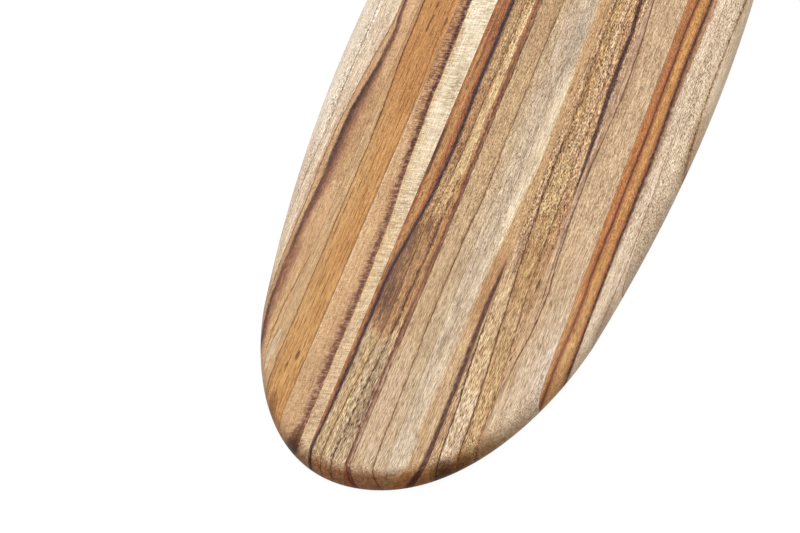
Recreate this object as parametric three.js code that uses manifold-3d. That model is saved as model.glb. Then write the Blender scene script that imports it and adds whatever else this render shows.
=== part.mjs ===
// Long oval serving board, edge-glued from full-length hardwood staves and shaped with
// a soft round edge all the way round. Millimetres, +Z up, +Y along the staves.
// The origin is the centre of the underside.
import * as THREE from 'three';
import { mergeVertices } from 'three/addons/utils/BufferGeometryUtils.js';
import Module from 'manifold-3d';

// Overall size of the finished board
const BOARD_LENGTH = 762;
const BOARD_WIDTH = 204;
const BOARD_THICKNESS = 13;

// Upright strip left half-way up the rim, between the upper and the lower round-over
const EDGE_LAND = 1;

// Outline: one long shallow arc on each side, then a rounder nose at each end.
// The nose is a cubic curve, with one handle along the side and one across the tip.
const SIDE_ARC_RADIUS = 1800;
const NOSE_LENGTH = 131;
const NOSE_SIDE_HANDLE = 30;
const NOSE_TIP_HANDLE = 58;

// Lay-up of the panel that the board is cut from. The pitch is one stave and one glue joint.
// The outline was laid on the panel a little off its middle, by the shift along X.
const STAVE_PITCH = 20;
const GLUE_THICKNESS = 0.2;
const NARROWEST_RIM_STAVE = 7;
const LAYUP_SHIFT = -0.6;

// Facets of the outline and of the round-over
const NOSE_STEPS = 22;
const SIDE_STEPS = 16;
const ROUND_OVER_STEPS = 5;

// Oiled wood, from pale straw to red-brown, with the full staves left to right, and dark glue
const LEFT_RIM_COLOUR = 0xd2bb9e;
const RIGHT_RIM_COLOUR = 0xc7af93;
const STAVE_COLOURS = [
  0xbb9778, 0xc29364, 0xcaa885, 0xa78162, 0xbc9c7d, 0xccaf91, 0xb89470, 0xc7a98a, 0xb78d6c,
];
const WOOD_ROUGHNESS = 0.5;
const GLUE_COLOUR = 0x4a3222;
const GLUE_ROUGHNESS = 0.6;

const edgeRadius = (BOARD_THICKNESS - EDGE_LAND) / 2;

// A width that clears the whole board, for the slabs that slice it
const pastBoard = BOARD_LENGTH + BOARD_WIDTH;

const wasm = await Module();
wasm.setup();

// A closed geometry as a solid that can be cut
function solidFrom(geometry) {
  const bare = geometry.clone();
  bare.deleteAttribute('normal');
  bare.deleteAttribute('uv');
  const merged = mergeVertices(bare);
  return new wasm.Manifold(new wasm.Mesh({
    numProp: 3,
    vertProperties: new Float32Array(merged.attributes.position.array),
    triVerts: new Uint32Array(merged.index.array),
  }));
}

// A cut solid as a geometry again
function geometryFrom(solid) {
  const { vertProperties, triVerts } = solid.getMesh();
  const geometry = new THREE.BufferGeometry();
  geometry.setAttribute('position', new THREE.BufferAttribute(vertProperties, 3));
  geometry.setIndex(new THREE.BufferAttribute(triVerts, 1));
  geometry.computeVertexNormals();
  return geometry;
}

// The board's outline, anticlockwise from the tip at -Y. The left half is the right half
// turned half-way round.
function boardOutline() {
  const halfLength = BOARD_LENGTH / 2;
  const sideReach = halfLength - NOSE_LENGTH;
  const sweep = Math.asin(sideReach / SIDE_ARC_RADIUS);
  const sideCentre = BOARD_WIDTH / 2 - SIDE_ARC_RADIUS;
  const side = new THREE.EllipseCurve(sideCentre, 0, SIDE_ARC_RADIUS, SIDE_ARC_RADIUS, -sweep, sweep);

  const tip = new THREE.Vector2(0, -halfLength);
  const shoulder = side.getPoint(0);
  const alongSide = new THREE.Vector2(Math.sin(sweep), Math.cos(sweep));
  const nose = new THREE.CubicBezierCurve(
    tip,
    tip.clone().add(new THREE.Vector2(NOSE_TIP_HANDLE, 0)),
    shoulder.clone().addScaledVector(alongSide, -NOSE_SIDE_HANDLE),
    shoulder,
  ).getPoints(NOSE_STEPS);

  const farNose = nose.map((point) => new THREE.Vector2(point.x, -point.y)).reverse();
  const rightHalf = [...nose, ...side.getPoints(SIDE_STEPS).slice(1, -1), ...farNose.slice(0, -1)];
  const leftHalf = rightHalf.map((point) => new THREE.Vector2(-point.x, -point.y));
  return new THREE.Shape([...rightHalf, ...leftHalf]);
}

// The whole board as one shaped blank, flat above and below, with the rim rounded over
function boardBlank() {
  const geometry = new THREE.ExtrudeGeometry(boardOutline(), {
    depth: EDGE_LAND,
    bevelEnabled: true,
    bevelThickness: edgeRadius,
    bevelSize: edgeRadius,
    bevelOffset: -edgeRadius,
    bevelSegments: ROUND_OVER_STEPS,
  });
  geometry.translate(0, 0, edgeRadius);
  return solidFrom(geometry);
}

// The slice of the blank between two upright planes across X
function sliceOf(blank, fromX, toX) {
  const slab = new THREE.BoxGeometry(toX - fromX, pastBoard, pastBoard);
  slab.translate((fromX + toX) / 2, 0, 0);
  return geometryFrom(blank.intersect(solidFrom(slab)));
}

// Middles of the glue joints across X. The panel has as many full staves as the width takes,
// and the two rim staves share what is left.
function glueJoints() {
  const fullStaves = Math.floor((BOARD_WIDTH - 2 * NARROWEST_RIM_STAVE) / STAVE_PITCH);
  const firstJoint = LAYUP_SHIFT - (fullStaves * STAVE_PITCH) / 2;
  return Array.from({ length: fullStaves + 1 }, (_, index) => firstJoint + index * STAVE_PITCH);
}

function addPiece(group, name, geometry, colour, roughness) {
  const material = new THREE.MeshStandardMaterial({ color: colour, roughness, metalness: 0 });
  const mesh = new THREE.Mesh(geometry, material);
  mesh.name = name;
  group.add(mesh);
}

function servingBoard() {
  const board = new THREE.Group();
  const blank = boardBlank();
  const joints = glueJoints();
  const halfGlue = GLUE_THICKNESS / 2;
  const number = (index) => String(index + 1).padStart(2, '0');

  const leftRim = sliceOf(blank, -pastBoard, joints[0] - halfGlue);
  addPiece(board, 'rim_stave_left', leftRim, LEFT_RIM_COLOUR, WOOD_ROUGHNESS);

  joints.slice(1).forEach((x, index) => {
    const stave = sliceOf(blank, joints[index] + halfGlue, x - halfGlue);
    const colour = STAVE_COLOURS[index % STAVE_COLOURS.length];
    addPiece(board, `stave_${number(index)}`, stave, colour, WOOD_ROUGHNESS);
  });

  const rightRim = sliceOf(blank, joints[joints.length - 1] + halfGlue, pastBoard);
  addPiece(board, 'rim_stave_right', rightRim, RIGHT_RIM_COLOUR, WOOD_ROUGHNESS);

  joints.forEach((x, index) => {
    const film = sliceOf(blank, x - halfGlue, x + halfGlue);
    addPiece(board, `glue_line_${number(index)}`, film, GLUE_COLOUR, GLUE_ROUGHNESS);
  });
  return board;
}

export default servingBoard();
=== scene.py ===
import math

import bmesh
import bpy
from mathutils import Matrix, Vector
from mathutils.geometry import interpolate_bezier


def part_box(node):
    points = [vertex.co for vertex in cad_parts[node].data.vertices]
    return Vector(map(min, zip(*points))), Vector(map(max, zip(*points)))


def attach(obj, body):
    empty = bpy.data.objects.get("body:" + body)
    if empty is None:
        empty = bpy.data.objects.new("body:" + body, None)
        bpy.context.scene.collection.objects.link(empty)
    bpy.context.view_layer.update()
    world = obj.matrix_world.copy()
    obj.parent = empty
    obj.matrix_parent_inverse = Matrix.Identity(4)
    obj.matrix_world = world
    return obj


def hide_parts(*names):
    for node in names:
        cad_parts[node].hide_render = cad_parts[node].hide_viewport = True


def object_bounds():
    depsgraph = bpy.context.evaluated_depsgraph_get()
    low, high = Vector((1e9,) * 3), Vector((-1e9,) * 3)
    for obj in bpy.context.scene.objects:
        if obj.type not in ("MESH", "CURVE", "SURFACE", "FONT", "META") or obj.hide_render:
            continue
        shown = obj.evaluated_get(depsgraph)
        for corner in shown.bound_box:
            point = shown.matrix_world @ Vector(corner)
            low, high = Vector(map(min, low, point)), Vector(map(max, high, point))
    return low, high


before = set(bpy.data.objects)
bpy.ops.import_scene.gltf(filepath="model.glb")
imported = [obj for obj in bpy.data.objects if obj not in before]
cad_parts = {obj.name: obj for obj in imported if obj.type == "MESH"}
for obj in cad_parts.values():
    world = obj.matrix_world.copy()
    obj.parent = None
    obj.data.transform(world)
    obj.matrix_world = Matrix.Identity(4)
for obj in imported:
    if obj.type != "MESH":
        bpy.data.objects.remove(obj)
cad_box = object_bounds()


# Left rim stave: what the shaping left of a full strip of pale, straight sapwood.
# Teak-like hardwood, glued to the next stave, then sawn to the board's outline and
# rounded over along its outer edge. The shaped blank that every stave is cut from starts here.
half_width = cad_box[1].x
half_length = cad_box[1].y
thickness = cad_box[1].z
SIDE_ARC_RADIUS = 1.8
NOSE_LENGTH = 0.131
NOSE_SIDE_HANDLE = 0.030
NOSE_TIP_HANDLE = 0.058
EDGE_LAND = 0.001
SIDE_STEPS = 24
NOSE_STEPS = 56
ROUND_OVER_STEPS = 12
FLAT_MARGIN = 0.0006
WELD = 1e-6
SAW_SNAP = 1e-7
RIM_TOLERANCE = 1e-5


def shaped_blank():
    """The whole glued board: a quarter outline, mirrored twice, thickened and rounded over."""
    board = bmesh.new()
    side_reach = half_length - NOSE_LENGTH
    sweep = math.asin(side_reach / SIDE_ARC_RADIUS)
    widest = board.verts.new((half_width, 0, 0))
    arc_centre = (half_width - SIDE_ARC_RADIUS, 0, 0)
    bmesh.ops.spin(
        board,
        geom=[widest],
        cent=arc_centre,
        axis=(0, 0, 1),
        angle=sweep,
        steps=SIDE_STEPS,
    )

    shoulder = max(board.verts, key=lambda vert: vert.co.y)
    tip = Vector((0, half_length, 0))
    along_side = Vector((-math.sin(sweep), math.cos(sweep), 0))
    nose = interpolate_bezier(
        shoulder.co,
        shoulder.co + along_side * NOSE_SIDE_HANDLE,
        tip + Vector((NOSE_TIP_HANDLE, 0, 0)),
        tip,
        NOSE_STEPS + 1,
    )
    last = shoulder
    for point in nose[1:]:
        following = board.verts.new(point)
        board.edges.new((last, following))
        last = following

    for axis in ("X", "Y"):
        quarter = board.verts[:] + board.edges[:]
        bmesh.ops.mirror(board, geom=quarter, matrix=Matrix.Identity(4), merge_dist=WELD, axis=axis)
    bmesh.ops.remove_doubles(board, verts=board.verts, dist=WELD)
    bmesh.ops.edgeloop_fill(board, edges=board.edges)
    raised = bmesh.ops.extrude_face_region(board, geom=board.faces[:], use_keep_orig=True)
    upper = [part for part in raised["geom"] if isinstance(part, bmesh.types.BMVert)]
    bmesh.ops.translate(board, vec=(0, 0, thickness), verts=upper)
    bmesh.ops.recalc_face_normals(board, faces=board.faces)

    rims = [
        edge for edge in board.edges
        if abs(edge.verts[0].co.z - edge.verts[1].co.z) < thickness / 2
    ]
    bmesh.ops.bevel(
        board,
        geom=rims,
        offset=(thickness - EDGE_LAND) / 2,
        offset_type="OFFSET",
        segments=ROUND_OVER_STEPS,
        profile=0.5,
        affect="EDGES",
        material=-1,
    )
    flats = [face for face in board.faces if len(face.verts) > 4]
    bmesh.ops.inset_region(board, faces=flats, thickness=FLAT_MARGIN)
    for face in board.faces:
        face.smooth = True
    return board


def sawn_from(board, node):
    """The slice of the blank between a node's two glue faces, with crisp edges at the joints."""
    low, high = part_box(node)
    piece = board.copy()
    for face_x, outward in ((low.x, -1), (high.x, 1)):
        if abs(face_x) > half_width - RIM_TOLERANCE:
            continue
        everything = piece.verts[:] + piece.edges[:] + piece.faces[:]
        saw = {"plane_co": (face_x, 0, 0), "plane_no": (outward, 0, 0), "clear_outer": True}
        cut = bmesh.ops.bisect_plane(piece, geom=everything, dist=SAW_SNAP, **saw)
        kerf = [part for part in cut["geom_cut"] if isinstance(part, bmesh.types.BMEdge)]
        bmesh.ops.edgeloop_fill(piece, edges=kerf)
        for edge in kerf:
            edge.smooth = False
    bmesh.ops.recalc_face_normals(piece, faces=piece.faces)
    return piece


def glue_in(node, material):
    """Puts the finished slice in place of its CAD node."""
    mesh = bpy.data.meshes.new("finished_" + node)
    piece = sawn_from(blank, node)
    piece.to_mesh(mesh)
    piece.free()
    mesh.materials.append(material)
    finished = bpy.data.objects.new("finished_" + node, mesh)
    bpy.context.scene.collection.objects.link(finished)
    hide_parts(node)
    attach(finished, "root")


def stain(red, green, blue):
    """A colour as the eye reads it, 0 to 255, turned to the linear light that shaders take."""
    linear = []
    for level in (red / 255, green / 255, blue / 255):
        linear.append(level / 12.92 if level <= 0.04045 else ((level + 0.055) / 1.055) ** 2.4)
    return (*linear, 1.0)


class StaveWood:
    """Oiled wood of one stave, laid down tone by tone. Lengths are in millimetres of the board."""

    MM = 1000.0
    SEED_STEP = 17.3
    NOISE_LOW = 0.25
    NOISE_HIGH = 0.75
    DOTS_TO_DASHES = (-150, -250)
    ROAM_STRETCH = (35, 200)
    ROAM_REACH = 3.5
    STREAK_LEVELS = (0.34, 0.66)
    TEAR_LEVELS = (0.35, 0.52)
    RUNG_LEVELS = (0.36, 0.56)
    RUNG_SWING = 0.5
    GAP_LEVELS = (0.46, 0.58)
    DOT_LEVELS = (0.46, 0.6)
    COMB_LEVELS = (0.42, 0.58)
    MOTTLE_LEVELS = (0.4, 0.6)
    CLOUD_LEVELS = (1.1, 0.2)
    FLECK_TINT = (0.88, 1.0, 1.12)
    PORE_SIZE = (0.7, 12, 0.7)
    PORE_PICK = (0.55, 0.62)
    PORE_EDGE = (0.46, 0.2)
    PORE_STAIN = (0.36, 0.26, 0.19)
    # Levels of the mask for darker end grain with painted shade down the rim.
    END_GRAIN_AND_SHADE_LEVELS = (0.02, 0.75)
    BLOTCH_LEVELS = (0.42, 0.62)
    BLOTCH_STAIN = (0.55, 0.48, 0.42, 1)
    BUMP_STRENGTH = 0.25
    BUMP_DISTANCE = 0.00006
    SATIN = (0.44, 0.56)
    OIL_GLOSS = 0.12

    def __init__(self, name, pale, deep, lean=0.0, seed=0.0):
        self.material = bpy.data.materials.new(name)
        self.material.use_nodes = True
        self.tree = self.material.node_tree
        self.seed = seed
        self.traced = {}
        self.place = self.add("ShaderNodeTexCoord").outputs
        metres = {0: self.place["Object"], "Scale": self.MM}
        in_mm = self.add("ShaderNodeVectorMath", metres, operation="SCALE").outputs[0]
        x, self.along, z = self.add("ShaderNodeSeparateXYZ", {0: in_mm}).outputs
        self.depth = self.math("SUBTRACT", thickness * self.MM, z)
        straight = self.math("MULTIPLY_ADD", self.depth, -lean, x)
        axes = {0: straight, 1: self.along, 2: self.depth}
        self.grain = self.add("ShaderNodeCombineXYZ", axes).outputs[0]
        self.tear = self.noise((1.3, 4.5, 1.3), detail=2)
        self.rung = self.noise((2.6, 1.1, 2.6), detail=2)
        self.gap = self.noise((1.3, 14, 1.3), detail=2)
        self.mottle = self.noise((2.0, 13, 2.0), detail=3, swirl=1.0)
        dots = self.noise((0.22, 1.8, 0.22), detail=0)
        dashes = self.noise((0.22, 4.0, 0.22), detail=1)
        stretched = self.math("SUBTRACT", dashes, dots)
        longer = self.math("MULTIPLY", stretched, self.rise(self.along, *self.DOTS_TO_DASHES))
        self.speck = self.math("ADD", dots, longer)
        waver = self.spread(self.noise((9, 30, 9)), 0.25)
        fray = self.spread(self.noise((0.8, 5, 0.8)), 0.12)
        roam = self.spread(self.noise((55, 150, 30)), self.ROAM_REACH)
        roam = self.math("MULTIPLY", roam, self.rise(self.along, *self.ROAM_STRETCH))
        self.across = self.total(straight, waver, fray, roam)
        half = half_length * self.MM
        reach = {"Value": self.along, "From Min": -half, "From Max": half}
        self.share = self.add("ShaderNodeMapRange", reach).outputs[0]
        self.streak = self.rise(self.noise((1.1, 45, 1.1), detail=4), *self.STREAK_LEVELS)
        # Extra share of painted glints in the speckle, raised or lowered patch by patch.
        self.glint_boost = 0.0
        self.colour = self.mix(self.streak, stain(*pale), stain(*deep))

    def add(self, kind, inputs=(), **settings):
        """A shader node whose inputs are linked to sockets or set to constants."""
        node = self.tree.nodes.new(kind)
        for key, value in settings.items():
            setattr(node, key, value)
        for key, value in dict(inputs).items():
            if isinstance(value, bpy.types.NodeSocket):
                self.tree.links.new(value, node.inputs[key])
            else:
                node.inputs[key].default_value = value
        return node

    def math(self, operation, *values):
        """One arithmetic step."""
        return self.add("ShaderNodeMath", enumerate(values), operation=operation).outputs[0]

    def total(self, *values):
        """The sum of all the values."""
        running = values[0]
        for value in values[1:]:
            running = self.math("ADD", running, value)
        return running

    def mix(self, share, under, over, blend="MIX"):
        """One colour laid over another, by share."""
        inputs = {0: share, 6: under, 7: over}
        return self.add("ShaderNodeMix", inputs, data_type="RGBA", blend_type=blend).outputs[2]

    def rise(self, value, start, end, low=0.0, high=1.0):
        """A smooth step from low to high while value goes from start to end."""
        inputs = {"Value": value, "From Min": start, "From Max": end, "To Min": low, "To Max": high}
        return self.add("ShaderNodeMapRange", inputs, interpolation_type="SMOOTHSTEP").outputs[0]

    def spread(self, noise, reach):
        """Noise turned to a swing of about plus or minus reach."""
        inputs = {"Value": noise, "From Min": self.NOISE_LOW, "From Max": self.NOISE_HIGH}
        inputs.update({"To Min": -reach, "To Max": reach})
        return self.add("ShaderNodeMapRange", inputs).outputs[0]

    def noise(self, size, detail=2.0, swirl=0.0):
        """Noise whose patches measure about size across, along and through the stave."""
        self.seed += self.SEED_STEP
        scale = [1 / length for length in size]
        inputs = {"Vector": self.grain, "Location": (self.seed,) * 3, "Scale": scale}
        place = self.add("ShaderNodeMapping", inputs).outputs[0]
        settings = {"Vector": place, "Scale": 1.0, "Detail": detail, "Distortion": swirl}
        return self.add("ShaderNodeTexNoise", settings).outputs[0]

    def curve(self, points, low, high):
        """A smooth curve through points given as (place along the stave, value)."""
        node = self.add("ShaderNodeFloatCurve", {"Value": self.share})
        knots = node.mapping.curves[0].points
        half = half_length * self.MM
        shares = [
            ((along + half) / (2 * half), (value - low) / (high - low))
            for along, value in points
        ]
        knots[0].location = shares[0]
        knots[1].location = shares[-1]
        for share in shares[1:-1]:
            knots.new(*share)
        for knot in knots:
            knot.handle_type = "AUTO_CLAMPED"
        node.mapping.extend = "HORIZONTAL"
        node.mapping.update()
        inputs = {"Value": node.outputs[0], "To Min": low, "To Max": high}
        return self.add("ShaderNodeMapRange", inputs).outputs[0]

    def off(self, path):
        """Distance across the grain from a growth line or a straight place, positive to its right."""
        if isinstance(path, (int, float)):
            return self.math("SUBTRACT", self.across, path)
        key = tuple(path)
        if key not in self.traced:
            sideways = [across for along, across in path]
            line = self.curve(path, min(sideways) - 1, max(sideways) + 1)
            self.traced[key] = self.math("SUBTRACT", self.across, line)
        return self.traced[key]

    def width(self, value):
        """A width that is one number, or a curve where it changes along the stave."""
        if isinstance(value, list):
            return self.curve(value, 0, max(width for along, width in value))
        return value

    def zone(self, path, pale, deep, soft=0.4):
        """Everything to the right of a growth line takes another pair of tones."""
        tone = self.mix(self.streak, stain(*pale), stain(*deep))
        self.colour = self.mix(self.rise(self.off(path), -soft, soft), self.colour, tone)

    def field(
        self, left, right, low, high, pale, deep,
        depth=0.8, soft=0.5, fade=8.0, ragged=8.0, combed=False,
    ):
        """The stretch between two growth lines, from low to high along the stave, in mottled tones."""
        along = self.math("ADD", self.along, self.spread(self.tear, ragged))
        inside = self.math("MULTIPLY", self.rise(self.off(left), -soft, soft), depth)
        inside = self.math("MULTIPLY", inside, self.rise(self.off(right), soft, -soft))
        inside = self.math("MULTIPLY", inside, self.rise(along, low - fade, low + fade))
        inside = self.math("MULTIPLY", inside, self.rise(along, high + fade, high - fade))
        if combed:
            figure = self.rise(self.rung, *self.COMB_LEVELS)
        else:
            figure = self.rise(self.mottle, *self.MOTTLE_LEVELS)
        tone = self.mix(figure, stain(*pale), stain(*deep))
        self.colour = self.mix(inside, self.colour, tone)

    def line(
        self, path, colour, left, right,
        core=0.3, depth=0.9, torn=0.0, rungs=0.0, along=None, dashed=False, dotted=False,
    ):
        """A growth line, full over the core share of its reach to each side, then fading out."""
        off = self.off(path)
        if torn:
            off = self.math("ADD", off, self.spread(self.tear, torn))
        if rungs:
            off = self.math("ADD", off, self.spread(self.rung, rungs * self.RUNG_SWING))
        near = self.rise(self.math("DIVIDE", off, self.width(left)), -1.0, -core)
        far = self.rise(self.math("DIVIDE", off, self.width(right)), 1.0, core)
        mark = self.math("MULTIPLY", near, self.math("MULTIPLY", far, depth))
        if torn:
            mark = self.math("MULTIPLY", mark, self.rise(self.tear, *self.TEAR_LEVELS, 1 - torn, 1.0))
        if rungs:
            mark = self.math("MULTIPLY", mark, self.rise(self.rung, *self.RUNG_LEVELS, 1 - rungs, 1.0))
        if dashed:
            mark = self.math("MULTIPLY", mark, self.rise(self.gap, *self.GAP_LEVELS))
        if dotted:
            mark = self.math("MULTIPLY", mark, self.rise(self.speck, *self.DOT_LEVELS))
        if along:
            mark = self.math("MULTIPLY", mark, self.curve(along, 0, 1))
        self.colour = self.mix(mark, self.colour, stain(*colour))

    def cloud(self, centre, reach, ragged=0.5):
        """A mask that is 1 at the centre, given as (across, along), and gone past its reach."""
        sideways = self.math("DIVIDE", self.math("SUBTRACT", self.across, centre[0]), reach[0])
        lengthways = self.math("DIVIDE", self.math("SUBTRACT", self.along, centre[1]), reach[1])
        square = self.math("MULTIPLY", sideways, sideways)
        radius = self.math("MULTIPLY_ADD", lengthways, lengthways, square)
        streaky = self.spread(self.streak, ragged / 2)
        torn = self.total(radius, streaky, self.spread(self.tear, ragged))
        return self.rise(torn, *self.CLOUD_LEVELS)

    def patch(self, centre, reach, colour, depth=0.8, ragged=0.5):
        """A cloudy patch of another tone."""
        mark = self.math("MULTIPLY", self.cloud(centre, reach, ragged), depth)
        self.colour = self.mix(mark, self.colour, stain(*colour))

    def painted_glints(self, centre, reach, more):
        """A patch of painted glints: the speckle's bright and dark flecks grow stronger there, or
        weaker where more is below zero.
        """
        self.glint_boost = self.math("MULTIPLY_ADD", self.cloud(centre, reach), more, self.glint_boost)

    def oiled(
        self, fibre, fleck_and_glint_share,
        ripple=0.05, curl=0.05, pores=0.2, end_tone=(0.6, 0.45, 0.33, 1),
    ):
        """Fine figure over the tones with painted glints in its flecks, darker end grain with painted
        shade deepening down the rounded rim, and the satin of worked-in oil.
        """
        fine = self.noise((0.24, 10, 0.24), detail=1)
        cross = self.math("MULTIPLY", self.spread(self.noise((7, 0.8, 7), detail=1), 1.0), ripple)
        curly = self.spread(self.noise((1.8, 0.9, 1.8), detail=1, swirl=0.8), curl)
        cloudy = self.noise((5, 40, 5), detail=2)
        # The speckle's flecks are partly the wood's own and partly painted glints that brighten and
        # darken the colour.
        fleck_and_glint_level = self.math("ADD", self.glint_boost, fleck_and_glint_share)
        flecks_and_glints = self.math("MULTIPLY", self.spread(self.speck, 1.2), fleck_and_glint_level)
        gain = self.total(flecks_and_glints, self.spread(fine, fibre), cross, curly, self.spread(cloudy, 0.12))
        flecks = {0: gain, 1: self.FLECK_TINT, 2: (1.0, 1.0, 1.0)}
        tint = self.add("ShaderNodeVectorMath", flecks, operation="MULTIPLY_ADD").outputs[0]
        self.colour = self.mix(1.0, self.colour, tint, "MULTIPLY")

        stretch = {"Vector": self.grain, "Scale": [1 / length for length in self.PORE_SIZE]}
        cells = self.add("ShaderNodeMapping", stretch).outputs[0]
        scatter = {"Vector": cells, "Scale": 1.0, "Randomness": 1.0}
        cell = self.add("ShaderNodeTexVoronoi", scatter).outputs
        chance = self.add("ShaderNodeSeparateXYZ", {0: cell["Color"]}).outputs[0]
        picked = self.rise(chance, *self.PORE_PICK)
        pore = self.math("MULTIPLY", self.rise(cell["Distance"], *self.PORE_EDGE), picked)
        brown = {0: self.colour, 1: self.PORE_STAIN}
        shaded = self.add("ShaderNodeVectorMath", brown, operation="MULTIPLY").outputs[0]
        self.colour = self.mix(self.math("MULTIPLY", pore, pores), self.colour, shaded)

        # End grain and painted shade: faces turned towards the ends take the darker end tone, more so
        # the deeper they lie below the top, which paints shade on the rim's lower part.
        facing = self.add("ShaderNodeSeparateXYZ", {0: self.place["Normal"]}).outputs["Y"]
        shade_with_depth = self.math("MULTIPLY_ADD", self.depth, 0.04, 0.7)
        end_grain_and_shade_slope = self.math("MULTIPLY", self.math("ABSOLUTE", facing), shade_with_depth)
        end_grain_and_shade_slope = self.math("ADD", end_grain_and_shade_slope, self.spread(self.tear, 0.12))
        end_grain_and_shade = self.rise(end_grain_and_shade_slope, *self.END_GRAIN_AND_SHADE_LEVELS)
        end_grain_and_shade_tone = self.mix(1.0, self.colour, end_tone, "MULTIPLY")
        blotch = self.rise(self.noise((3, 6, 1.6), detail=3), *self.BLOTCH_LEVELS, 0.0, 0.5)
        blotched = self.mix(1.0, end_grain_and_shade_tone, self.BLOTCH_STAIN, "MULTIPLY")
        end_grain_and_shade_tone = self.mix(blotch, end_grain_and_shade_tone, blotched)
        self.colour = self.mix(end_grain_and_shade, self.colour, end_grain_and_shade_tone)

        relief = self.math("SUBTRACT", self.math("MULTIPLY", fine, 0.6), pore)
        raised = {"Height": relief, "Strength": self.BUMP_STRENGTH, "Distance": self.BUMP_DISTANCE}
        bump = self.add("ShaderNodeBump", raised).outputs[0]
        shader = self.tree.nodes["Principled BSDF"]
        shader.inputs["Specular IOR Level"].default_value = self.OIL_GLOSS
        self.tree.links.new(self.colour, shader.inputs["Base Color"])
        satin = self.rise(fine, 0.3, 0.7, *self.SATIN)
        self.tree.links.new(satin, shader.inputs["Roughness"])
        self.tree.links.new(bump, shader.inputs["Normal"])
        return self.material


blank = shaped_blank()
wood = StaveWood("left_rim_sapwood", (238, 220, 198), (231, 212, 188), lean=0.1, seed=1)
pore_row = [(-170, -90.6), (-120, -91.0), (-80, -91.3), (-40, -91.8), (0, -92.3), (20, -92.7)]
wood.patch((-91, -160), (8, 60), (212, 184, 156), depth=0.6)
wood.patch((-89.5, -205), (3, 30), (140, 106, 78), depth=0.8)
wood.zone(pore_row, (249, 232, 210), (240, 221, 198), soft=1.0)
wood.line(pore_row, (216, 194, 168), 1.6, 1.2, core=0.0, depth=0.3, torn=0.4)
wood.line(pore_row, (88, 68, 50), 0.5, 0.5, core=0.5, depth=0.95, torn=0.2, dotted=True)
# Painted glints, stronger along the pore row.
wood.painted_glints((-91.8, -60), (2.6, 150), 0.3)
finish = wood.oiled(0.22, 0.28, pores=0.1)
glue_in("rim_stave_left", finish)


# Stave 1, next to the left rim: pinkish sapwood, a dark growth line, then tan heartwood.
# A full-length strip, planed square and glued on both faces.
wood = StaveWood("stave_01_pink_and_tan", (236, 213, 185), (219, 192, 163), lean=0.1, seed=2)
main_line = [
    (-280, -78.0), (-260, -79.8), (-240, -81.0), (-205, -81.6), (-180, -82.0), (-150, -81.4),
    (-130, -82.0), (-90, -82.2), (-75, -81.5), (-60, -80.4), (-45, -79.2), (-25, -78.0),
    (-10, -77.7), (5, -78.8), (20, -79.2),
]
tan_line = [
    (-240, -83.5), (-200, -84.5), (-160, -85.0), (-120, -85.8), (-80, -85.2), (-60, -84.6),
    (-40, -83.4), (-20, -81.8), (0, -80.6),
]
short_line = [(-285, -72.4), (-262, -73.0), (-240, -72.0), (-212, -70.7)]
wood.zone(tan_line, (212, 174, 132), (194, 150, 110), soft=0.5)
wood.zone(main_line, (220, 178, 134), (204, 160, 118), soft=0.8)
wood.patch((-74, -95), (6, 55), (190, 146, 103), depth=0.7)
wood.patch((-76, -262), (9, 42), (206, 166, 116), depth=0.4)
wood.patch((-86, -252), (3.0, 26), (158, 122, 94), depth=0.7)
wood.line(tan_line, (184, 140, 102), 1.0, 0.6, core=0.0, depth=0.6, torn=0.3)
wood.line(tan_line, (140, 96, 62), 0.45, 0.45, depth=0.8, torn=0.15)
fading = [(-190, 0.0), (-150, 0.7), (-80, 0.7), (-50, 0.0)]
wood.line(
    [(-170, -85.8), (-110, -86.8), (-60, -85.8)], (178, 130, 96), 0.7, 0.6,
    torn=0.4, along=fading,
)
smear = [
    (-270, 4.0), (-240, 6.4), (-215, 7.4), (-195, 4.6), (-170, 5.0), (-140, 7.6), (-90, 8.0),
    (-60, 6.0), (-20, 3.2), (20, 2.0),
]
wood.line(main_line, (140, 92, 70), 1.4, smear, core=0.3, depth=0.92, torn=0.3)
core_reach = [
    (-280, 2.0), (-240, 1.8), (-205, 1.6), (-180, 2.8), (-150, 3.2), (-130, 4.0), (-90, 4.2),
    (-60, 3.8), (-20, 1.8), (20, 1.0),
]
core_depth = [
    (-280, 1.0), (-245, 0.8), (-215, 0.4), (-190, 0.75), (-150, 0.65), (-120, 1.0), (-70, 1.0),
    (-40, 0.85), (-10, 0.6), (20, 0.9),
]
wood.line(
    main_line, (74, 48, 46), 1.4, core_reach,
    core=0.05, depth=0.95, torn=0.12, along=core_depth,
)
short_fade = [(-292, 0), (-270, 1), (-216, 1), (-208, 0)]
wood.line(short_line, (142, 96, 58), 0.5, 0.5, depth=0.8, along=short_fade)
finish = wood.oiled(0.36, 0.32, pores=0.15, end_tone=(0.4, 0.27, 0.18, 1))
glue_in("stave_01", finish)


# Stave 2: honey-brown heartwood with fine dark pore lines, paler along its left side.
# A full-length strip, planed square and glued on both faces.
wood = StaveWood("stave_02_honey", (214, 177, 134), (196, 157, 114), lean=0.1, seed=3)
dark_hair = [
    (-310, -64.4), (-240, -65.0), (-160, -65.3), (-100, -65.8), (-80, -66.5), (-60, -67.2),
    (-40, -68.0), (0, -68.8), (20, -69.3),
]
wood.field(-71, dark_hair, -60, 60, (202, 158, 115), (186, 140, 99), depth=0.8, fade=30)
wood.patch((-69, -292), (2.0, 18), (230, 210, 180), depth=0.6)
wood.zone(dark_hair, (214, 161, 104), (197, 142, 84), soft=1.0)
wood.patch((-60, -25), (12, 80), (188, 128, 76), depth=0.5)
wood.patch((-58, -285), (9, 60), (206, 162, 104), depth=0.4)
wood.patch((-63, -180), (4, 130), (208, 166, 114), depth=0.5)
wood.line(
    dark_hair, (166, 112, 70), 1.2, 1.6,
    core=0.0, depth=0.7, torn=0.3, along=[(-110, 0.2), (-50, 1)],
)
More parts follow.
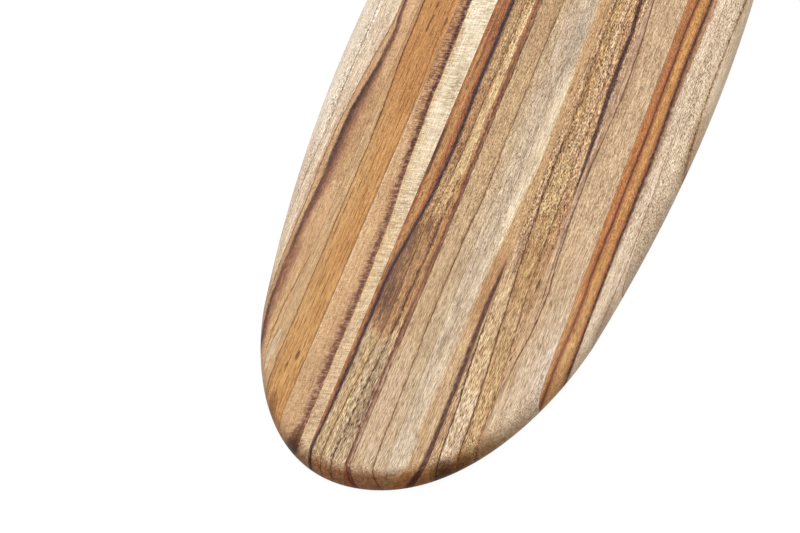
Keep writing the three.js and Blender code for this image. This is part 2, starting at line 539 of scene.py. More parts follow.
wood.line(
    dark_hair, (92, 56, 36), 0.45, 0.45,
    core=0.5, depth=0.9, torn=0.2, along=[(-130, 0.7), (-100, 1)],
)
# Painted shade: a darker patch on the rounded rim at the lower left.
wood.patch((-58.6, -333), (3.4, 12), (142, 92, 52), depth=0.7)
wood.patch((-63.5, -316), (2.0, 12), (166, 114, 68), depth=0.4)
hairs = [
    [(-250, -62.9), (-120, -63.6), (20, -64.6)],
    [(-330, -60.4), (-220, -60.7), (-120, -61.3), (-60, -61.6), (20, -61.6)],
    [(-300, -58.4), (-160, -59.2), (-60, -59.0), (-20, -58.4), (20, -58.9)],
    [(-330, -55.6), (-220, -56.5), (-100, -56.9), (-40, -57.2), (20, -57.6)],
    [(-320, -54.0), (-150, -55.0), (20, -55.6)],
    [(-300, -52.4), (-180, -53.2), (-100, -53.0), (-40, -53.4)],
]
for hair in hairs:
    wood.line(hair, (170, 112, 66), 0.4, 0.4, core=0.3, depth=0.25, torn=0.3)
    wood.line(hair, (136, 78, 44), 0.35, 0.35, core=0.3, depth=0.7, dashed=True)
edge_hair = [(-310, -50.9), (-110, -51.0), (-60, -51.8), (-20, -53.0), (20, -53.8)]
wood.line(edge_hair, (150, 96, 54), 0.7, 0.6, core=0.2, depth=0.75, torn=0.3)
for spot in ((-61.3, 19), (-61.2, 5), (-61.3, -3), (-52.7, 4), (-55.3, -295), (-58.8, -303)):
    wood.patch(spot, (0.8, 5.0), (108, 60, 42), depth=0.8, ragged=0.5)
finish = wood.oiled(0.36, 0.26, ripple=0.02, pores=0.15, end_tone=(0.44, 0.22, 0.07, 1))
glue_in("stave_02", finish)


# Stave 3: pinkish tan on the left of a ragged dark growth band, cream on its right.
# A full-length strip, planed square and glued on both faces.
wood = StaveWood("stave_03_pink_and_cream", (222, 182, 138), (206, 163, 120), lean=-0.4, seed=4)
band_edge = [
    (-360, -37.0), (-340, -37.4), (-240, -37.6), (-200, -38.3), (-180, -39.0), (-160, -39.9),
    (-140, -41.0), (-120, -41.8), (-80, -43.1), (-40, -43.9), (0, -44.3), (20, -44.6),
]
wood.patch((-50, 40), (8, 85), (180, 128, 88), depth=0.7)
wood.field(-51, -47, -60, 10, (180, 130, 92), (146, 98, 68), depth=0.6, soft=1.0, fade=15)
wood.field(
    -50, band_edge, -95, 90, (206, 160, 118), (136, 88, 62),
    depth=0.75, soft=0.8, fade=25, combed=True,
)
wood.field(
    -44, band_edge, -420, -80, (212, 168, 126), (180, 132, 98),
    depth=0.35, soft=2.0, fade=20, combed=True,
)
joint_fade = [(-320, 0), (-260, 1), (-100, 1), (-50, 0)]
wood.line(-50.6, (236, 204, 164), 1.0, 1.6, core=0.1, depth=0.7, rungs=0.6, along=joint_fade)
wood.zone(band_edge, (242, 223, 193), (231, 208, 174), soft=0.6)
wood.field(
    band_edge, -30, -420, -168, (228, 198, 157), (212, 180, 138),
    depth=0.8, fade=8, ragged=8,
)
wood.patch((-34, -320), (8, 70), (216, 182, 146), depth=0.75)
wood.patch((-47, -320), (6, 60), (204, 164, 122), depth=0.6)
wood.patch((-34, -142), (6, 40), (230, 204, 168), depth=0.7)
wood.field(-37, -31.5, -72, -36, (240, 220, 186), (184, 154, 122), depth=0.6, soft=0.8, combed=True)
wood.field(-35.5, -30, -5, 120, (250, 238, 212), (204, 170, 130), depth=0.55, soft=1.5, combed=True)
fringe = [(-280, 0.4), (-140, 1)]
wood.line(
    band_edge, (214, 168, 106), 0.3, 4.0,
    core=0.25, depth=0.9, torn=0.6, rungs=0.8, along=fringe,
)
band_reach = [
    (-360, 5.4), (-300, 5.4), (-200, 5.2), (-160, 5.4), (-120, 4.8), (-80, 5.0), (20, 4.4),
]
wood.line(band_edge, (146, 98, 74), band_reach, 1.0, core=0.35, depth=0.85, torn=0.4, rungs=0.6)
wood.line(band_edge, (118, 70, 58), 2.8, 0.9, core=0.45, depth=0.85, torn=0.3, rungs=0.4)
ink = [(-365, 1), (-345, 0.15), (-210, 0.15), (-130, 0.7), (-40, 1), (20, 1)]
wood.line(band_edge, (66, 38, 36), 2.6, 0.6, core=0.2, depth=0.92, torn=0.3, rungs=0.8, along=ink)
wood.patch((-38, 28), (7, 44), (250, 236, 208), depth=0.4)
# Painted shade: a darker patch on the rounded rim at the visible end.
wood.patch((-39.4, -362.5), (4.5, 14.5), (102, 64, 44), depth=0.85, ragged=0.3)
# Painted glints, weaker over the cream side of the band.
wood.painted_glints((-36, -40), (6, 180), -0.22)
barred = wood.rise(wood.off(band_edge), -1, 1, 0.06, 0.3)
finish = wood.oiled(0.26, 0.34, ripple=barred, curl=0.24, pores=0.05, end_tone=(0.36, 0.25, 0.2, 1))
glue_in("stave_03", finish)


# Stave 4: orange-brown edge, a slate-dark growth line, then olive and golden heartwood.
# A full-length strip, planed square and glued on both faces.
wood = StaveWood("stave_04_dark_and_gold", (180, 118, 76), (158, 98, 66), lean=0.1, seed=5)
slate_line = [
    (-360, -29.5), (-340, -28.6), (-300, -27.95), (-240, -27.7), (-220, -27.3), (-200, -26.15),
    (-180, -24.6), (-160, -22.9), (-140, -21.9), (-120, -21.5), (-100, -21.3), (-80, -21.6),
    (-60, -22.3), (-40, -22.2), (40, -22.3),
]
brown_line = [
    (-360, -23.4), (-340, -22.7), (-300, -20.7), (-280, -19.5), (-260, -18.9), (-240, -19.0),
    (-190, -19.1), (-170, -18.4), (-150, -17.2), (-120, -16.2), (-80, -15.9), (20, -15.5),
]
ragged_line = [
    (-370, -17.4), (-340, -16.7), (-310, -15.7), (-290, -14.9), (-262, -13.7), (-200, -12.9),
    (-140, -12.3),
]
gold_column = [(-235, 0), (-200, 1), (-90, 0.9), (-50, 0.6), (-10, 0.2)]
wood.line(-27.2, (202, 152, 98), 3.0, 3.2, core=0.2, depth=0.88, torn=0.4, along=gold_column)
wood.patch((-28.9, -40), (1.0, 34), (204, 152, 94), depth=0.6)
wood.field(
    -31, slate_line, -400, -195, (192, 136, 90), (172, 116, 76),
    depth=0.8, fade=15, ragged=20,
)
purple_fade = [(-70, 0), (-30, 1)]
wood.line(
    [(-60, -27.4), (40, -27.0)], (116, 72, 56), 0.8, 0.9,
    depth=0.7, torn=0.4, along=purple_fade,
)
wood.line(slate_line, (150, 92, 62), 3.2, 1.0, core=0.1, depth=0.7, torn=0.3)
wood.field(
    -31, -28.9, -136, -90, (92, 64, 54), (70, 46, 42),
    depth=0.95, soft=0.6, fade=10, ragged=8,
)
wood.patch((-30.6, -152), (1.6, 34), (140, 92, 62), depth=0.7)
wood.zone(slate_line, (202, 168, 126), (172, 135, 98), soft=0.5)
wood.field(
    slate_line, brown_line, -128, -48, (176, 132, 94), (148, 102, 74),
    depth=0.8, fade=12, ragged=20,
)
wood.zone(brown_line, (230, 200, 152), (210, 175, 128), soft=0.4)
wood.field(
    brown_line, -12, -48, 60, (224, 192, 146), (192, 152, 110),
    depth=0.6, soft=0.8, fade=15, ragged=20,
)
wood.field(
    slate_line, ragged_line, -274, -165, (180, 134, 94), (142, 104, 80),
    depth=0.9, fade=10, ragged=14,
)
wood.patch((-23.5, -216), (5.5, 42), (116, 84, 68), depth=0.75, ragged=0.8)
swirl = [(-262, -22.6), (-240, -20.4), (-222, -21.6), (-205, -19.6), (-185, -20.4)]
swirl_fade = [(-262, 0), (-250, 1), (-195, 1), (-180, 0)]
wood.line(swirl, (184, 134, 80), 1.5, 1.3, core=0.0, depth=0.75, torn=0.9, along=swirl_fade)
wood.patch((-21.5, -240), (4.0, 24), (122, 88, 70), depth=0.6, ragged=1.0)
wood.patch((-16, -176), (3.2, 13), (122, 82, 64), depth=0.7, ragged=1.0)
wood.line(
    [(-225, -17.6), (-190, -18.4), (-165, -19.4)], (204, 156, 104), 0.7, 0.7,
    torn=0.8, depth=0.7,
)
wood.line(
    [(-262, -16.4), (-215, -15.6), (-180, -14.6)], (206, 154, 100), 0.8, 0.8,
    torn=0.8, depth=0.7,
)
wood.field(
    slate_line, -21.5, -400, -268, (208, 180, 140), (186, 155, 118),
    depth=0.9, fade=8, ragged=10,
)
wood.field(-21, -10, -400, -276, (212, 184, 150), (178, 148, 114), depth=0.9, fade=8, ragged=10)
gold_fade = [(-355, 0), (-335, 1), (-285, 1), (-268, 0)]
wood.line(
    [(-345, -23.2), (-300, -21.8), (-275, -21.6)], (208, 174, 112), 1.2, 1.2,
    depth=0.45, torn=0.4, along=gold_fade,
)
wood.line(brown_line, (172, 128, 86), 0.9, 1.0, core=0.0, depth=0.55, torn=0.5)
wood.line(brown_line, (112, 74, 44), 0.4, 0.4, core=0.4, depth=0.88, torn=0.2)
squiggle_fade = [(-50, 0), (-36, 1), (10, 1), (20, 0)]
wood.line([(-40, -14.9), (14, -14.2)], (104, 68, 42), 0.5, 0.5, torn=0.6, along=squiggle_fade)
ragged_fade = [(-268, 0.2), (-255, 1), (-150, 1), (-134, 0)]
wood.field(
    ragged_line, -9, -262, -128, (200, 152, 102), (172, 124, 84),
    depth=0.85, fade=10, ragged=16,
)
wood.line(ragged_line, (140, 94, 64), 1.6, 1.8, core=0.1, depth=0.75, torn=0.9, along=ragged_fade)
ragged_reach = [
    (-340, 0.6), (-275, 0.7), (-258, 1.8), (-244, 1.3), (-236, 0.7), (-224, 1.4), (-212, 0.7),
    (-196, 1.6), (-180, 1.5), (-166, 0.8), (-150, 1.0), (-140, 0.5),
]
ragged_depth = [(-370, 1), (-275, 1), (-250, 0.75), (-150, 0.8), (-134, 0)]
wood.line(ragged_line, (80, 52, 36), 0.6, ragged_reach, depth=0.9, torn=0.6, along=ragged_depth)
slate_reach = [
    (-360, 1.1), (-340, 1.1), (-300, 1.5), (-240, 1.5), (-200, 1.5), (-180, 1.4), (-80, 1.4),
    (-40, 1.9), (40, 2.2),
]
wood.line(slate_line, (122, 78, 62), 2.4, 1.6, core=0.1, depth=0.7, torn=0.4)
wood.line(slate_line, (58, 42, 46), slate_reach, slate_reach, core=0.15, depth=0.95, torn=0.1)
wood.patch((-13.5, -330), (4.0, 32), (140, 110, 82), depth=0.45)
wood.patch((-10.8, -325), (1.0, 42), (122, 86, 72), depth=0.7)
wood.patch((-10.8, -80), (0.9, 14), (150, 96, 76), depth=0.6)
wood.patch((-15.5, -150), (3.5, 22), (198, 156, 108), depth=0.5)
# Painted glints: weaker over the dark stretches, stronger near the visible end.
wood.painted_glints((-20, -215), (8, 55), -0.25)
wood.painted_glints((-27, -90), (5, 190), -0.4)
wood.painted_glints((-13.5, -90), (4, 70), -0.3)
wood.painted_glints((-15, -335), (8, 50), 0.4)
finish = wood.oiled(0.5, 0.72, ripple=0.08, pores=0.3, end_tone=(0.5, 0.31, 0.21, 1))
glue_in("stave_04", finish)


# Stave 5: an orange sliver and a double dark growth band at the left, beige beyond.
# A full-length strip, planed square and glued on both faces.
wood = StaveWood("stave_05_beige", (198, 146, 96), (180, 126, 80), lean=0.5, seed=6)
outer_band = [
    (-340, -10.0), (-260, -9.8), (-230, -9.3), (-200, -8.8), (-140, -8.6), (-80, -8.8), (20, -8.9),
]
inner_band = [(-370, -7.9), (-300, -7.7), (-240, -7.4), (-160, -7.0), (-80, -7.1), (20, -7.1)]
mid_line = [
    (-375, 3.6), (-350, 3.0), (-320, 2.8), (-280, 2.5), (-240, 2.2), (-200, 2.5), (-170, 3.1),
    (-140, 3.9), (-80, 3.7), (-20, 3.9), (20, 4.3),
]
wood.zone(outer_band, (174, 128, 94), (148, 102, 76), soft=0.5)
wood.zone(inner_band, (209, 177, 138), (193, 160, 122), soft=0.4)
wood.patch((-2, 20), (7, 60), (188, 148, 108), depth=0.6)
wood.patch((-2, -85), (7, 70), (204, 166, 120), depth=0.5)
wood.zone(mid_line, (211, 183, 148), (196, 167, 133), soft=0.5)
wood.patch((-3, -335), (9, 62), (214, 184, 154), depth=0.6)
# Painted highlight: a paler patch of sheen on the top near the rounded end.
wood.patch((2, -366), (8, 14), (216, 190, 160), depth=0.5)
mid_smear = [(-300, 0.4), (-240, 1), (-150, 1), (-100, 0.5)]
wood.line(mid_line, (168, 126, 88), 2.2, 1.0, core=0.0, depth=0.7, torn=0.4, along=mid_smear)
wood.line(mid_line, (116, 80, 52), 0.5, 0.45, core=0.4, depth=0.85, torn=0.25)
wide_band = [(-240, 0.4), (-150, 0.6), (-60, 1)]
wood.line(outer_band, (138, 90, 66), 1.3, 2.2, core=0.2, depth=0.9, torn=0.5, along=wide_band)
outer_depth = [(-260, 1), (-200, 0.7), (-150, 0.8), (-120, 1), (-60, 0.8), (-20, 0.3)]
wood.line(outer_band, (98, 62, 54), 0.7, 1.0, core=0.1, depth=0.9, torn=0.5, along=outer_depth)
inner_depth = [(-250, 0.7), (-200, 0.8), (-100, 1)]
wood.line(inner_band, (90, 56, 42), 0.6, 0.45, core=0.3, depth=0.88, torn=0.3, along=inner_depth)
finish = wood.oiled(0.5, 0.46, pores=0.3, end_tone=(0.46, 0.3, 0.23, 1))
glue_in("stave_05", finish)


# Stave 6: grey-beige wood with a soft pore streak, warmer tan beyond, and a dark growth
# band that only comes in towards the visible end. Glued on both faces like the others.
wood = StaveWood("stave_06_grey_beige", (224, 200, 171), (207, 181, 151), lean=-0.65, seed=7)
warm_edge = [
    (-370, 18.7), (-340, 19.0), (-300, 19.7), (-260, 20.4), (-230, 20.9), (-200, 21.9),
    (-160, 23.4), (-140, 24.2), (-125, 25.3), (-110, 25.5), (-60, 25.2), (-20, 24.2), (20, 23.5),
]
pore_streak = [(-320, 12.6), (-240, 14.0), (-200, 16.2), (-80, 16.6), (-40, 17.8), (20, 19.6)]
late_band = [(-370, 27.7), (-340, 27.9), (-300, 27.9), (-250, 27.7), (-220, 28.1), (-195, 28.4)]
wood.patch((13, -20), (5, 65), (202, 174, 148), depth=0.6)
wood.patch((19.5, -8), (4.5, 42), (186, 168, 146), depth=0.6)
wood.line(
    pore_streak, (192, 172, 150), 4.0, 3.0,
    core=0.0, depth=0.5, torn=0.5, along=[(-320, 0.3), (-220, 0.6), (-160, 1)],
)
wood.line(pore_streak, (150, 128, 104), 3.5, 3.5, core=0.0, depth=0.5, dashed=True)
wood.line(
    [(-370, 11.4), (-300, 12.2), (-230, 12.8)], (160, 138, 116), 0.4, 0.4,
    depth=0.6, torn=0.6,
)
cream_fade = [(-220, 0), (-140, 1), (-60, 1), (-25, 0)]
wood.line(warm_edge, (238, 216, 184), 7.0, 0.4, core=0.3, depth=0.8, torn=0.3, along=cream_fade)
wood.line(warm_edge, (242, 222, 180), 3.0, 0.6, core=0.1, depth=0.4, torn=0.3, along=cream_fade)
wood.zone(warm_edge, (214, 175, 130), (199, 157, 112), soft=1.0)
wood.patch((25, -226), (5, 40), (186, 136, 92), depth=0.65)
wood.patch((23, -320), (5, 70), (214, 183, 146), depth=0.6)
# Painted highlight: a paler patch of sheen on the top near the rounded end.
wood.patch((14, -362), (7, 18), (224, 203, 176), depth=0.7)
late_left = [(-374, 3.6), (-362, 2.3), (-340, 2.2), (-250, 2.2), (-220, 1.5), (-195, 0.4)]
late_right = [(-374, 2.0), (-362, 1.4), (-340, 1.2), (-250, 1.3), (-220, 0.9), (-195, 0.3)]
late_smear = [(-260, 0.6), (-230, 1.0), (-195, 0.0)]
wood.line(late_band, (150, 102, 74), 3.4, 1.4, core=0.2, depth=0.8, torn=0.3, along=late_smear)
late_start = [(-215, 1.0), (-192, 0.0)]
wood.line(
    late_band, (86, 56, 52), late_left, late_right,
    core=0.4, depth=0.95, torn=0.2, along=late_start,
)
# Painted glints, weaker along the warm edge.
wood.painted_glints((22, -100), (4, 80), -0.2)
finish = wood.oiled(0.44, 0.44, pores=0.35, end_tone=(0.46, 0.3, 0.19, 1))
glue_in("stave_06", finish)


# Stave 7: golden brown and lively in the light, with ragged brown lines that cross it
# slowly from left to right. Glued on both faces like the others.
wood = StaveWood("stave_07_golden_brown", (218, 185, 146), (188, 149, 110), lean=-0.1, seed=8)
left_ragged = [
    (-350, 41.7), (-330, 41.3), (-310, 40.7), (-290, 39.9), (-265, 38.4), (-240, 37.2),
    (-220, 36.2), (-200, 35.4), (-170, 34.5), (-120, 33.4), (-80, 33.4), (-20, 32.6), (0, 32.3),
    (40, 32.0),
]
middle_line = [
    (-340, 48.8), (-300, 48.1), (-250, 45.9), (-230, 44.9), (-200, 44.2), (-160, 43.6),
    (-120, 43.5), (-80, 43.2), (-60, 42.9), (-40, 42.4), (-20, 41.6), (0, 41.0), (20, 40.4),
    (40, 39.6),
]
low_line = [(-370, 33.4), (-345, 32.9), (-320, 32.2), (-305, 31.4), (-280, 30.4), (-255, 29.7)]
purple_line = [
    (-150, 49.0), (-120, 48.7), (-100, 48.4), (-80, 48.0), (-60, 47.3), (-40, 46.7), (-20, 46.5),
    (0, 46.5), (20, 45.8), (40, 44.8),
]
wood.field(
    29, left_ragged, -165, 60, (208, 172, 130), (176, 134, 94),
    depth=0.6, soft=0.6, fade=15, ragged=20,
)
wood.field(
    left_ragged, 38.5, -90, 5, (198, 154, 106), (154, 110, 76),
    depth=0.6, soft=1.2, fade=15, ragged=20,
)
wood.field(
    left_ragged, 37, -110, 60, (206, 170, 116), (152, 112, 68),
    depth=0.7, soft=0.8, fade=15, ragged=20,
)
wood.patch((33.5, -30), (3.0, 14), (138, 94, 66), depth=0.6, ragged=1.0)
wood.field(
    middle_line, purple_line, -95, 60, (202, 152, 104), (170, 120, 80),
    depth=0.5, soft=1.0, fade=25, ragged=25,
)
wood.field(
    left_ragged, middle_line, -240, -165, (198, 158, 106), (164, 118, 74),
    depth=0.8, fade=12, ragged=30,
)
wood.field(
    middle_line, 49.5, -235, -130, (200, 156, 108), (164, 118, 80),
    depth=0.7, fade=15, ragged=25,
)
wood.patch((33.6, -190), (2.0, 28), (150, 104, 80), depth=0.6, ragged=1.0)
wood.field(
    29, left_ragged, -312, -215, (228, 198, 156), (204, 168, 124),
    depth=0.7, soft=0.8, fade=10, ragged=20,
)
wood.field(
    low_line, left_ragged, -370, -312, (234, 208, 176), (212, 182, 146),
    depth=0.8, fade=8, ragged=12,
)
wood.field(
    left_ragged, middle_line, -350, -255, (212, 176, 122), (184, 144, 96),
    depth=0.6, fade=12, ragged=20,
)
wood.field(
    left_ragged, middle_line, -168, -108, (204, 172, 122), (172, 133, 88),
    depth=0.7, soft=1.0, fade=10, ragged=20,
)
wood.line(left_ragged, (150, 104, 68), 0.9, 1.4, core=0.1, depth=0.6, torn=0.6)
left_depth = [(-200, 1), (-160, 0.7), (-90, 0.5), (40, 0.55)]
wood.line(left_ragged, (94, 62, 38), 0.45, 0.45, core=0.4, depth=0.9, torn=0.15, along=left_depth)
soft_purple = [(-185, 0), (-160, 1), (-105, 1), (-90, 0)]
wood.line(left_ragged, (112, 74, 64), 0.9, 0.7, core=0.3, depth=0.85, torn=0.3, along=soft_purple)
wood.line(middle_line, (156, 112, 74), 0.8, 0.8, core=0.1, depth=0.55, torn=0.5)
middle_depth = [(-290, 0.35), (-240, 0.9), (-120, 0.8), (-60, 0.55), (40, 0.6)]
wood.line(middle_line, (106, 72, 44), 0.4, 0.4, core=0.4, depth=0.86, torn=0.2, along=middle_depth)
low_start = [(-256, 1), (-246, 0)]
wood.line(low_line, (148, 106, 76), 1.8, 0.8, core=0.1, depth=0.6, torn=0.6, along=low_start)
wood.line(low_line, (82, 54, 40), 0.5, 0.5, core=0.4, depth=0.92, torn=0.25, along=low_start)
wood.line(
    purple_line, (172, 106, 70), 2.6, 2.4,
    core=0.2, depth=0.7, torn=0.3, along=[(-70, 0.3), (-10, 1)],
)
purple_reach = [
    (-150, 0.5), (-130, 1.0), (-100, 1.4), (-80, 1.6), (-60, 1.9), (-40, 2.0), (-15, 1.7),
    (40, 1.4),
]
purple_end = [(-152, 0), (-130, 1)]
wood.line(
    purple_line, (58, 36, 38), purple_reach, purple_reach,
    core=0.4, depth=0.96, torn=0.1, along=purple_end,
)
wood.patch((48.5, -219), (0.8, 6), (92, 60, 50), depth=0.8, ragged=0.4)
wood.patch((46, -361), (7.5, 7.5), (158, 108, 46), depth=0.8, ragged=0.3)
wood.patch((38.5, -367.5), (7, 6.5), (116, 74, 32), depth=0.8, ragged=0.3)
# Painted glints, weaker over a stretch towards the visible end.
wood.painted_glints((40, -230), (12, 80), -0.25)
finish = wood.oiled(0.55, 0.95, ripple=0.06, pores=0.35, end_tone=(0.32, 0.21, 0.1, 1))
glue_in("stave_07", finish)


# Stave 8: even greyish tan with fine parallel lines at its left.
# A full-length strip, planed square and glued on both faces.
wood = StaveWood("stave_08_grey_tan", (208, 172, 142), (188, 150, 120), lean=0.1, seed=9)
tan_line = [
    (-315, 49.8), (-300, 50.8), (-285, 51.8), (-270, 53.1), (-255, 54.3), (-240, 54.9),
    (-230, 55.0), (-215, 54.3), (-200, 53.5), (-180, 52.7), (-150, 52.1), (-130, 52.0),
    (-100, 52.7), (-80, 53.3), (-60, 53.9), (-40, 54.1), (-20, 53.9), (0, 53.5), (20, 52.5),
    (40, 51.3),
]
wood.patch((51, -250), (3.5, 70), (210, 174, 130), depth=0.6)
wood.zone(tan_line, (216, 184, 148), (196, 162, 126), soft=0.5)
wood.patch((64, -300), (10, 90), (217, 192, 165), depth=0.75)
wood.patch((57, -325), (8, 26), (220, 194, 164), depth=0.6)
wood.patch((65, -205), (5, 60), (214, 186, 154), depth=0.5)
wood.patch((58, -347), (9, 9), (164, 116, 58), depth=0.55, ragged=0.3)
# Painted highlight: a whitish streak of sheen towards the stave's right side.
wood.patch((67, -288), (3, 34), (230, 214, 198), depth=0.5)
tan_smear = [(-120, 0), (-50, 1), (10, 0.7), (40, 0.4)]
wood.line(tan_line, (178, 138, 102), 0.5, 6.0, core=0.0, depth=0.7, torn=0.3, along=tan_smear)
wood.line(
    tan_line, (98, 68, 44), 0.5, 0.5,
    core=0.5, depth=0.9, torn=0.15, along=[(-316, 0.2), (-280, 1)],
)
twin_fade = [(-260, 0), (-240, 1), (-180, 1), (-160, 0)]
wood.line(
    [(-250, 53.8), (-220, 52.9), (-180, 51.5)], (118, 84, 58), 0.45, 0.45,
    core=0.4, depth=0.85, torn=0.3, along=twin_fade,
)
dash_fade = [(-150, 0), (-110, 1), (-20, 1), (10, 0)]
wood.line(
    [(-140, 50.8), (-60, 51.6), (0, 51.2)], (132, 94, 68), 0.5, 0.5,
    dotted=True, along=dash_fade,
)
finish = wood.oiled(0.56, 0.42, pores=0.25, end_tone=(0.42, 0.3, 0.15, 1))
glue_in("stave_08", finish)


# Stave 9: smooth orange heartwood between two dark growth lines, pale pink at the right.
# A full-length strip, planed square and glued on both faces.
wood = StaveWood("stave_09_orange", (200, 136, 85), (185, 119, 71), lean=-0.4, seed=10)
left_line = [
    (-300, 72.3), (-280, 72.3), (-240, 73.2), (-200, 72.9), (-160, 73.6), (-120, 73.9), (-80, 74.2),
    (-40, 74.1), (0, 74.1), (40, 74.8),
]
right_line = [
    (-290, 80.3), (-270, 79.9), (-240, 79.8), (-200, 80.0), (-160, 80.4), (-120, 81.0), (-80, 81.1),
    (-40, 80.5), (0, 81.0), (40, 81.5),
]
side_streak = [(-50, 82.4), (40, 85.0)]
outer_line = [(-255, 86.9), (-220, 87.5), (-200, 88.2), (-140, 88.6), (-80, 88.3)]
wood.patch((71, 0), (4, 85), (174, 114, 74), depth=0.6)
wood.zone(left_line, (209, 153, 95), (192, 134, 81), soft=0.6)
wood.field(75.6, 79.6, -60, 80, (214, 160, 94), (204, 148, 86), depth=0.7, soft=1.0, fade=30)
wood.field(
    69, right_line, -420, -225, (212, 171, 120), (196, 151, 102),
    depth=0.6, fade=25, ragged=20,
)
wood.zone(right_line, (234, 211, 183), (218, 190, 160), soft=0.6)
wood.field(right_line, side_streak, -60, 80, (190, 146, 108), (168, 122, 88), depth=0.8, fade=20)
wood.line(side_streak, (172, 112, 72), 0.8, 0.6, depth=0.75, torn=0.4, along=[(-70, 0), (-20, 1)])
fade_depth = [(-200, 0.3), (-150, 0.9), (40, 1)]
fade_reach = [(-200, 2.0), (-150, 4.0), (-100, 5.0), (-60, 4.5), (40, 3.0)]
wood.line(
    right_line, (136, 90, 62), 0.5, fade_reach,
    core=0.2, depth=0.9, torn=0.6, along=fade_depth,
)
wood.line(left_line, (150, 88, 58), 2.4, 2.4, core=0.0, depth=0.85)
wood.line(
    left_line, (92, 50, 40), 0.9, 0.9,
    core=0.1, depth=0.9, torn=0.15, along=[(-300, 0.8), (-260, 0.5), (-200, 1)],
)
wood.line(right_line, (140, 80, 50), 3.0, 1.0, core=0.0, depth=0.85)
right_reach = [(-290, 1.0), (-170, 1.2), (-120, 1.8), (-60, 1.6), (0, 1.2), (40, 1.1)]
wood.line(right_line, (70, 43, 37), 0.9, right_reach, core=0.2, depth=0.93, torn=0.3)
wood.line(outer_line, (142, 104, 76), 0.6, 0.5, depth=0.75, torn=0.3, along=[(-90, 1), (-50, 0)])
wood.patch((88, -245), (4, 28), (172, 142, 116), depth=0.6)
finish = wood.oiled(0.3, 0.44, pores=0.15, end_tone=(0.58, 0.38, 0.15, 1))
glue_in("stave_09", finish)


# Right rim stave: pale golden-grey wood with fine cross flecks and one brown line.
# Like the left one, it is what the outline left of a full strip.
wood = StaveWood("right_rim_golden_grey", (226, 202, 174), (204, 178, 148), lean=0.0, seed=11)
brown_line = [(-140, 99.8), (-110, 98.9), (-80, 98.4), (-40, 98.1), (0, 98.4), (40, 99.2)]
wood.zone(brown_line, (228, 203, 172), (216, 191, 160), soft=0.5)
wood.patch((91, -215), (8, 44), (184, 156, 130), depth=0.5)
wood.patch((99, -90), (3.0, 40), (182, 146, 104), depth=0.55)
wood.patch((97, -165), (6.0, 40), (188, 160, 128), depth=0.6)
wood.line(brown_line, (160, 118, 82), 1.2, 1.0, core=0.0, depth=0.7, torn=0.4)
wood.line(brown_line, (116, 76, 46), 0.4, 0.4, depth=0.85, torn=0.6)
# Painted glints, weaker along the outer edge.
wood.painted_glints((102, -20), (3.4, 140), -0.45)
finish = wood.oiled(0.34, 0.6, pores=0.15)
glue_in("rim_stave_right", finish)


# Glue lines: the cured film of brown wood glue in each of the ten joints.
# Squeezed thin by the clamps and sanded flush with the wood.
GLUE_MOTTLE = 180
GLUE_ROUGHNESS = 0.55
GLUE_TONES = ((0.35, stain(128, 94, 66)), (0.65, stain(160, 122, 88)))
JOINTS = 10
glue = bpy.data.materials.new("cured_wood_glue")
glue.use_nodes = True
glue_nodes = glue.node_tree.nodes
glue_place = glue_nodes.new("ShaderNodeTexCoord")
glue_mottle = glue_nodes.new("ShaderNodeTexNoise")
glue_mottle.inputs["Scale"].default_value = GLUE_MOTTLE
glue_tone = glue_nodes.new("ShaderNodeValToRGB")
for stop, (position, tone) in zip(glue_tone.color_ramp.elements, GLUE_TONES):
    stop.position = position
    stop.color = tone
glue_shader = glue_nodes["Principled BSDF"]
glue_shader.inputs["Roughness"].default_value = GLUE_ROUGHNESS
glue.node_tree.links.new(glue_place.outputs["Object"], glue_mottle.inputs["Vector"])
glue.node_tree.links.new(glue_mottle.outputs[0], glue_tone.inputs[0])
glue.node_tree.links.new(glue_tone.outputs[0], glue_shader.inputs["Base Color"])
for joint in range(1, JOINTS + 1):
    glue_in(f"glue_line_{joint:02d}", glue)


# Studio floor: a wide white sheet just under the board, with the board's soft shadow on it.
# The camera sees it lifted to white, and the board is lit by the plain sheet.
FLOOR_SIZE = 14.0
FLOOR_GAP = 0.0004
SHADOW_SHARE = 0.2
SEEN_LEVEL = 1.19
PAPER_TONE = 0.45
PAPER_ROUGHNESS = 0.9


def in_plain_view(tree):
    """1 for the rays that see a surface itself: in the picture, in a gloss or through glass."""
    rays = tree.nodes.new("ShaderNodeLightPath")
    seen = rays.outputs["Is Camera Ray"]
    for kind in ("Is Glossy Ray", "Is Transmission Ray"):
        either = tree.nodes.new("ShaderNodeMath")
        either.operation = "ADD"
        tree.links.new(seen, either.inputs[0])
        tree.links.new(rays.outputs[kind], either.inputs[1])
        seen = either.outputs[0]
    return seen


floor_mesh = bpy.data.meshes.new("studio_floor")
sheet = bmesh.new()
bmesh.ops.create_grid(sheet, x_segments=1, y_segments=1, size=FLOOR_SIZE / 2)
bmesh.ops.translate(sheet, vec=(0, 0, -FLOOR_GAP), verts=sheet.verts)
sheet.to_mesh(floor_mesh)
sheet.free()
floor = bpy.data.objects.new("studio_floor", floor_mesh)
bpy.context.scene.collection.objects.link(floor)
paper = bpy.data.materials.new("white_paper")
paper.use_nodes = True
paper_nodes = paper.node_tree.nodes
paper_links = paper.node_tree.links
paper_shader = paper_nodes["Principled BSDF"]
paper_shader.inputs["Base Color"].default_value = (PAPER_TONE, PAPER_TONE, PAPER_TONE, 1)
paper_shader.inputs["Roughness"].default_value = PAPER_ROUGHNESS
seen_white = paper_nodes.new("ShaderNodeEmission")
seen_white.inputs["Strength"].default_value = SEEN_LEVEL
lifted = paper_nodes.new("ShaderNodeMath")
lifted.operation = "MULTIPLY"
lifted.inputs[1].default_value = 1 - SHADOW_SHARE
lift = paper_nodes.new("ShaderNodeMixShader")
paper_links.new(in_plain_view(paper.node_tree), lifted.inputs[0])
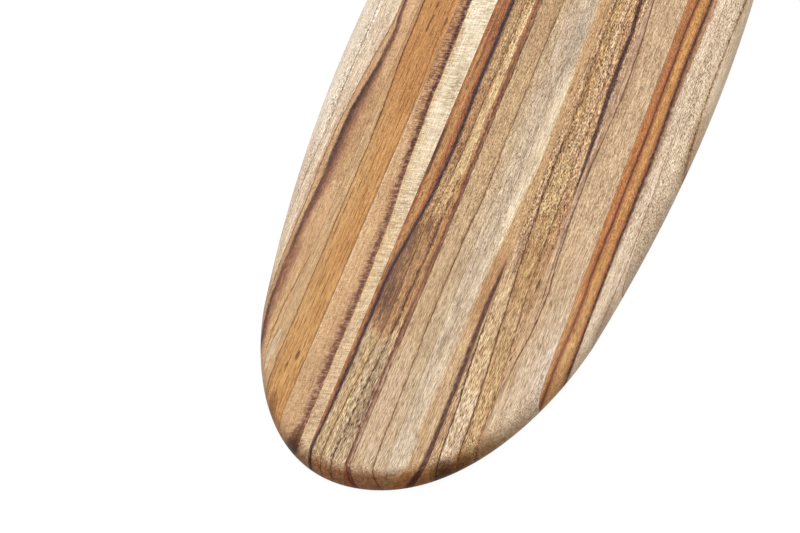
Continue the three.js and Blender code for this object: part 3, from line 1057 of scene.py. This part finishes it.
paper_links.new(lifted.outputs[0], lift.inputs[0])
paper_links.new(paper_shader.outputs[0], lift.inputs[1])
paper_links.new(seen_white.outputs[0], lift.inputs[2])
paper_links.new(lift.outputs[0], paper_nodes["Material Output"].inputs[0])
floor_mesh.materials.append(paper)


# Studio light: an even white room and one broad soft lamp high on the left.
# Together they light the top at a plain level, where a colour shows about as written.
ROOM_LEVEL = 0.62
LAMP_LEVEL = 1.2
LAMP_SPREAD = 70
LAMP_TILT = (12, -8, 0)
room = bpy.data.worlds.new("white_room")
bpy.context.scene.world = room
room.use_nodes = True
room_nodes = room.node_tree.nodes
room_light = room_nodes["Background"]
room_light.inputs["Color"].default_value = (1, 1, 1, 1)
room_level = room_nodes.new("ShaderNodeMapRange")
room_level.inputs["To Min"].default_value = ROOM_LEVEL
room_level.inputs["To Max"].default_value = 1.0
room.node_tree.links.new(in_plain_view(room.node_tree), room_level.inputs["Value"])
room.node_tree.links.new(room_level.outputs[0], room_light.inputs["Strength"])
lamp_data = bpy.data.lights.new("soft_lamp", "SUN")
lamp_data.energy = LAMP_LEVEL
lamp_data.angle = math.radians(LAMP_SPREAD)
lamp = bpy.data.objects.new("soft_lamp", lamp_data)
lamp.rotation_euler = [math.radians(angle) for angle in LAMP_TILT]
bpy.context.scene.collection.objects.link(lamp)


# Camera: a long lens on the visible end, from its right and above, tilted a little.
# Angles in degrees, the aim point and the distance in metres, the lens in millimetres.
AZIMUTH = 16.75
ELEVATION = 35.622
ROLL = -4.629
AIM = Vector((-0.0287, -0.1970, 0))
DISTANCE = 3.085
LENS = 276.18
SENSOR_WIDTH = 36
camera_data = bpy.data.cameras.new("photo_camera")
camera_data.lens = LENS
camera_data.sensor_width = SENSOR_WIDTH
camera = bpy.data.objects.new("photo_camera", camera_data)
turn = Matrix.Rotation(math.radians(AZIMUTH), 4, "Z")
tilt = Matrix.Rotation(math.radians(90 - ELEVATION), 4, "X")
level = Matrix.Rotation(math.radians(ROLL), 4, "Z")
back = Matrix.Translation((0, 0, DISTANCE))
camera.matrix_world = Matrix.Translation(AIM) @ turn @ tilt @ level @ back
bpy.context.scene.collection.objects.link(camera)
bpy.context.scene.camera = camera
bpy.context.scene.view_settings.view_transform = "Standard"


# Clean-up: the blank that the slices were sawn from is freed.
blank.free()
